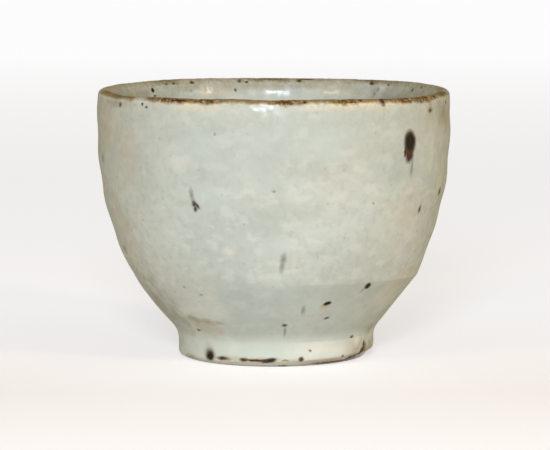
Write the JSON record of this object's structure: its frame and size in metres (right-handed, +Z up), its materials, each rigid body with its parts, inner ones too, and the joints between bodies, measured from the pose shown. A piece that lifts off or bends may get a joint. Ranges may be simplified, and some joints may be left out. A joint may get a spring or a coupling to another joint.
{
  "type": "yunomi teacup",
  "caption": "Squat handleless wheel-thrown stoneware teacup with a milky glaze, an iron-brown lip and a turned foot ring, for drinking tea.",
  "frame": {"origin": "on the table, under the middle of the cup's box, at the bottom of the foot ring", "axes": "+Z up through the mouth, -Y towards the side that the picture shows, +X to that view's right"},
  "size_m": [0.09, 0.0903, 0.0681],
  "materials": {
    "clay": "bare fired stoneware",
    "milky_glaze": "satin milky glaze with iron spots",
    "iron_glaze": "thin iron-brown glaze"
  },
  "bodies": {
    "root": {"thrown_bowl": "clay", "foot_ring": "clay", "outer_glaze": "milky_glaze", "inner_glaze": "milky_glaze", "foot_glaze": "milky_glaze", "lip_glaze": "iron_glaze"}
  },
  "joints": []
}
